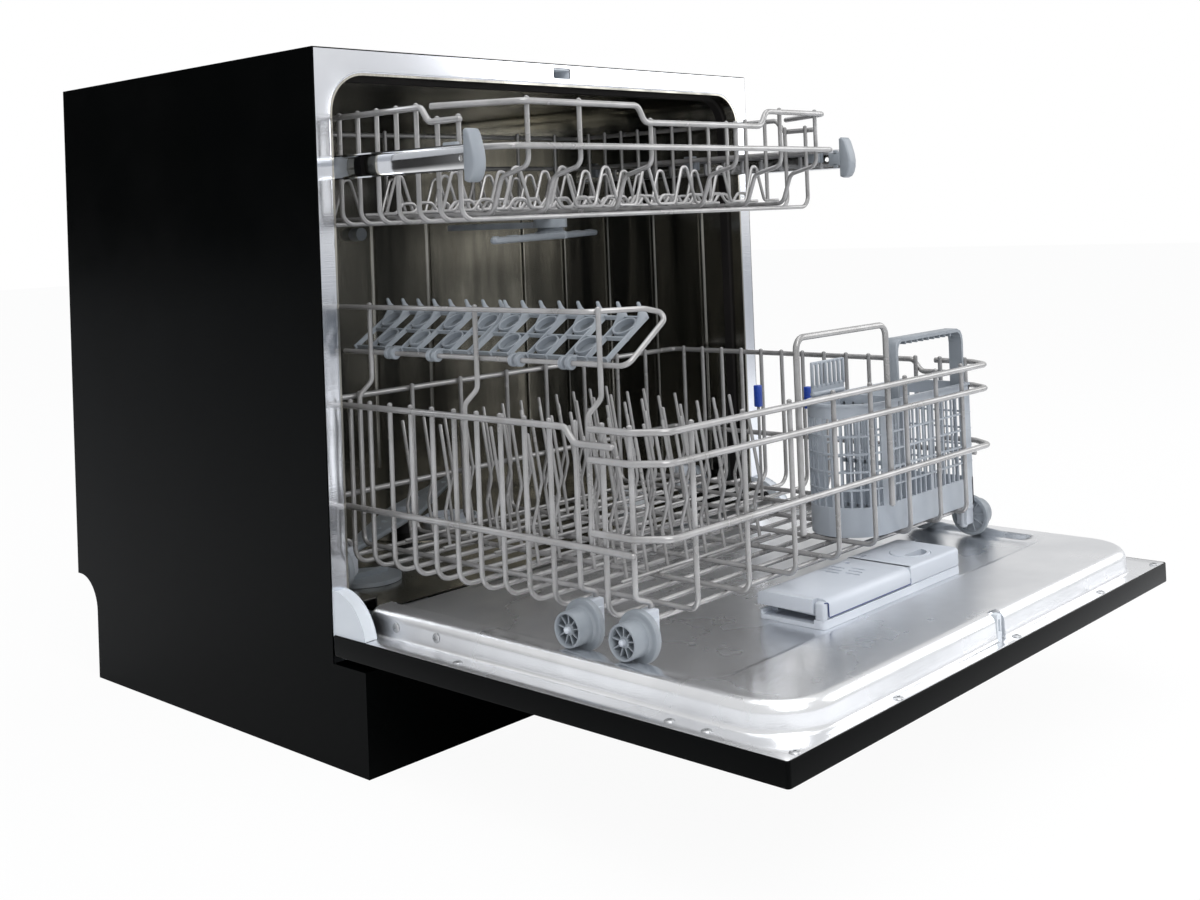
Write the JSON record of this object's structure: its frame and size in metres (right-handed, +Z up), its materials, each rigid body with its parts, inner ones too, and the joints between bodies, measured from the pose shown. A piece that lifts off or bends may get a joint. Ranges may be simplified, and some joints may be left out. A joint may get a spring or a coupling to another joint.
{
  "type": "countertop dishwasher",
  "caption": "Box-shaped countertop dishwasher with a drop-down front door, a wire upper rack on rails and a wheeled lower rack with a cutlery basket, shown open.",
  "frame": {"origin": "middle of the base's underside, on the surface the dishwasher stands on", "axes": "+X to the right as seen from the front, +Y to the rear, +Z up; the door opens towards -Y"},
  "size_m": [0.595, 0.936, 0.614],
  "materials": {
    "black_enamel": "smooth black enamel",
    "black_plastic": "moulded black plastic",
    "black_rubber": "soft black rubber",
    "stainless": "bright rolled stainless steel",
    "zinc_steel": "zinc-plated steel",
    "coated_wire": "nylon-coated wire, warm light grey",
    "blue_grey_plastic": "blue-grey moulded plastic",
    "light_grey_plastic": "light grey moulded plastic",
    "white_plastic": "white moulded plastic",
    "blue_plastic": "deep blue moulded plastic"
  },
  "bodies": {
    "cabinet": {"base_tray": "black_enamel", "plinth_panel": "black_enamel", "side_panel_left": "black_enamel", "side_panel_right": "black_enamel", "top_panel": "black_enamel", "back_panel": "zinc_steel", "feet": "black_plastic", "tub": "stainless", "tub_ledges": "stainless", "door_seal": "black_rubber", "latch_catch": "white_plastic", "hinge_brackets": "zinc_steel", "hinge_covers": "white_plastic", "corner_seals": "black_rubber", "sump": "black_plastic", "filter_plate": "stainless", "circulation_pump": "black_plastic", "drain_pump": "black_plastic", "inlet_valve": "white_plastic", "water_softener": "white_plastic", "feed_tube": "blue_grey_plastic"},
    "filter_cup": {"filter_cup": "light_grey_plastic"},
    "float": {"float_dome": "white_plastic"},
    "lower_arm": {"lower_spray_arm": "blue_grey_plastic"},
    "salt_cap": {"salt_cap": "blue_grey_plastic"},
    "front_rollers": {"rollers_front": "white_plastic"},
    "rear_rollers": {"rollers_rear": "white_plastic"},
    "door": {"door_outer": "black_enamel", "door_liner": "stainless", "liner_panel": "stainless", "door_screws": "zinc_steel", "hinge_arms": "zinc_steel", "latch_strike": "white_plastic", "dispenser": "light_grey_plastic"},
    "flap": {"detergent_flap": "light_grey_plastic"},
    "rinse_cap": {"rinse_cap": "light_grey_plastic"},
    "lower_rack": {"lower_rack_rims": "coated_wire", "lower_rack_ribs": "coated_wire", "lower_rack_runners": "coated_wire", "lower_rack_handle": "coated_wire", "lower_rack_tines": "coated_wire", "wheel_clips": "light_grey_plastic", "cup_shelf_frame": "coated_wire"},
    "front_tines": {"tine_row_front": "coated_wire"},
    "rear_tines": {"tine_row_rear": "coated_wire"},
    "wheels_front": {"wheels_1": "blue_grey_plastic"},
    "wheels_middle": {"wheels_2": "blue_grey_plastic"},
    "wheels_rear": {"wheels_3": "blue_grey_plastic"},
    "front_shelf": {"cup_shelf_front": "blue_grey_plastic"},
    "rear_shelf": {"cup_shelf_rear": "blue_grey_plastic"},
    "cutlery_basket": {"cutlery_basket": "blue_grey_plastic"},
    "cutlery_lid": {"cutlery_lid": "blue_grey_plastic"},
    "upper_rack": {"upper_rack_rims": "coated_wire", "upper_rack_ribs": "coated_wire", "upper_rack_tines": "coated_wire", "upper_rack_waves": "coated_wire", "upper_rails": "stainless", "rail_fittings": "blue_grey_plastic", "upper_feed": "blue_grey_plastic"},
    "upper_arm": {"upper_spray_arm": "blue_grey_plastic"}
  },
  "joints": [
    {"name": "door_hinge", "type": "hinge", "parent": "cabinet", "child": "door", "pos_m": [0, -0.205, 0.1204], "axis": [1, 0, 0], "range_deg": [0, 1.5]},
    {"name": "lower_rack_slide", "type": "slide", "parent": "cabinet", "child": "lower_rack", "axis": [0, 1, 0], "range_m": [0, 0.35]},
    {"name": "upper_rack_slide", "type": "slide", "parent": "cabinet", "child": "upper_rack", "axis": [0, 1, 0], "range_m": [-0.05, 0.185]},
    {"name": "front_wheels_spin", "type": "hinge", "parent": "lower_rack", "child": "wheels_front", "pos_m": [0, -0.511, 0.148], "axis": [1, 0, 0], "continuous": true},
    {"name": "middle_wheels_spin", "type": "hinge", "parent": "lower_rack", "child": "wheels_middle", "pos_m": [0, -0.454, 0.148], "axis": [1, 0, 0], "continuous": true},
    {"name": "rear_wheels_spin", "type": "hinge", "parent": "lower_rack", "child": "wheels_rear", "pos_m": [0, -0.1405, 0.148], "axis": [1, 0, 0], "continuous": true},
    {"name": "front_rollers_spin", "type": "hinge", "parent": "cabinet", "child": "front_rollers", "pos_m": [0, -0.16, 0.51], "axis": [1, 0, 0], "continuous": true},
    {"name": "rear_rollers_spin", "type": "hinge", "parent": "cabinet", "child": "rear_rollers", "pos_m": [0, -0.1, 0.51], "axis": [1, 0, 0], "continuous": true},
    {"name": "upper_arm_spin", "type": "hinge", "parent": "upper_rack", "child": "upper_arm", "pos_m": [0, -0.18, 0.437], "axis": [0, 0, 1], "continuous": true},
    {"name": "lower_arm_spin", "type": "hinge", "parent": "cabinet", "child": "lower_arm", "pos_m": [-0.038, 0.03, 0.14], "axis": [0, 0, 1], "continuous": true},
    {"name": "front_shelf_fold", "type": "hinge", "parent": "lower_rack", "child": "front_shelf", "pos_m": [-0.23108, -0.395, 0.345], "axis": [0, -1, 0], "range_deg": [0, 40]},
    {"name": "rear_shelf_fold", "type": "hinge", "parent": "lower_rack", "child": "rear_shelf", "pos_m": [-0.23108, -0.233, 0.345], "axis": [0, -1, 0], "range_deg": [0, 40]},
    {"name": "front_tines_fold", "type": "hinge", "parent": "lower_rack", "child": "front_tines", "pos_m": [0, -0.385, 0.16532], "axis": [-1, 0, 0], "range_deg": [0, 60]},
    {"name": "rear_tines_fold", "type": "hinge", "parent": "lower_rack", "child": "rear_tines", "pos_m": [0, -0.33, 0.16532], "axis": [-1, 0, 0], "range_deg": [0, 60]},
    {"name": "basket_lift", "type": "slide", "parent": "lower_rack", "child": "cutlery_basket", "axis": [0, 0, -1], "range_m": [-0.2, 0]},
    {"name": "cutlery_lid_hinge", "type": "hinge", "parent": "cutlery_basket", "child": "cutlery_lid", "pos_m": [0.093, -0.45199, 0.28496], "axis": [1, 0, 0], "range_deg": [0, 85]},
    {"name": "flap_hinge", "type": "hinge", "parent": "door", "child": "flap", "pos_m": [-0.034, -0.572, 0.1362], "axis": [1, 0, 0], "range_deg": [0, 4]},
    {"name": "rinse_cap_turn", "type": "hinge", "parent": "door", "child": "rinse_cap", "pos_m": [0.074, -0.546, 0.145], "axis": [0, 0, 1], "range_deg": [0, 90]},
    {"name": "filter_turn", "type": "hinge", "parent": "cabinet", "child": "filter_cup", "pos_m": [0.028, 0.03, 0.1], "axis": [0, 0, 1], "range_deg": [0, 90]},
    {"name": "salt_cap_turn", "type": "hinge", "parent": "cabinet", "child": "salt_cap", "pos_m": [-0.19, -0.11, 0.122], "axis": [0, 0, 1], "range_deg": [0, 90]},
    {"name": "float_lift", "type": "slide", "parent": "cabinet", "child": "float", "axis": [0, 0, 1], "range_m": [0, 0.006]}
  ],
  "couplings": [
    {"joint": "front_wheels_spin", "follows": "lower_rack_slide", "rad_per_m": -72.993},
    {"joint": "middle_wheels_spin", "follows": "lower_rack_slide", "rad_per_m": -72.993},
    {"joint": "rear_wheels_spin", "follows": "lower_rack_slide", "rad_per_m": -72.993},
    {"joint": "front_rollers_spin", "follows": "upper_rack_slide", "rad_per_m": -111.11},
    {"joint": "rear_rollers_spin", "follows": "upper_rack_slide", "rad_per_m": -111.11}
  ]
}
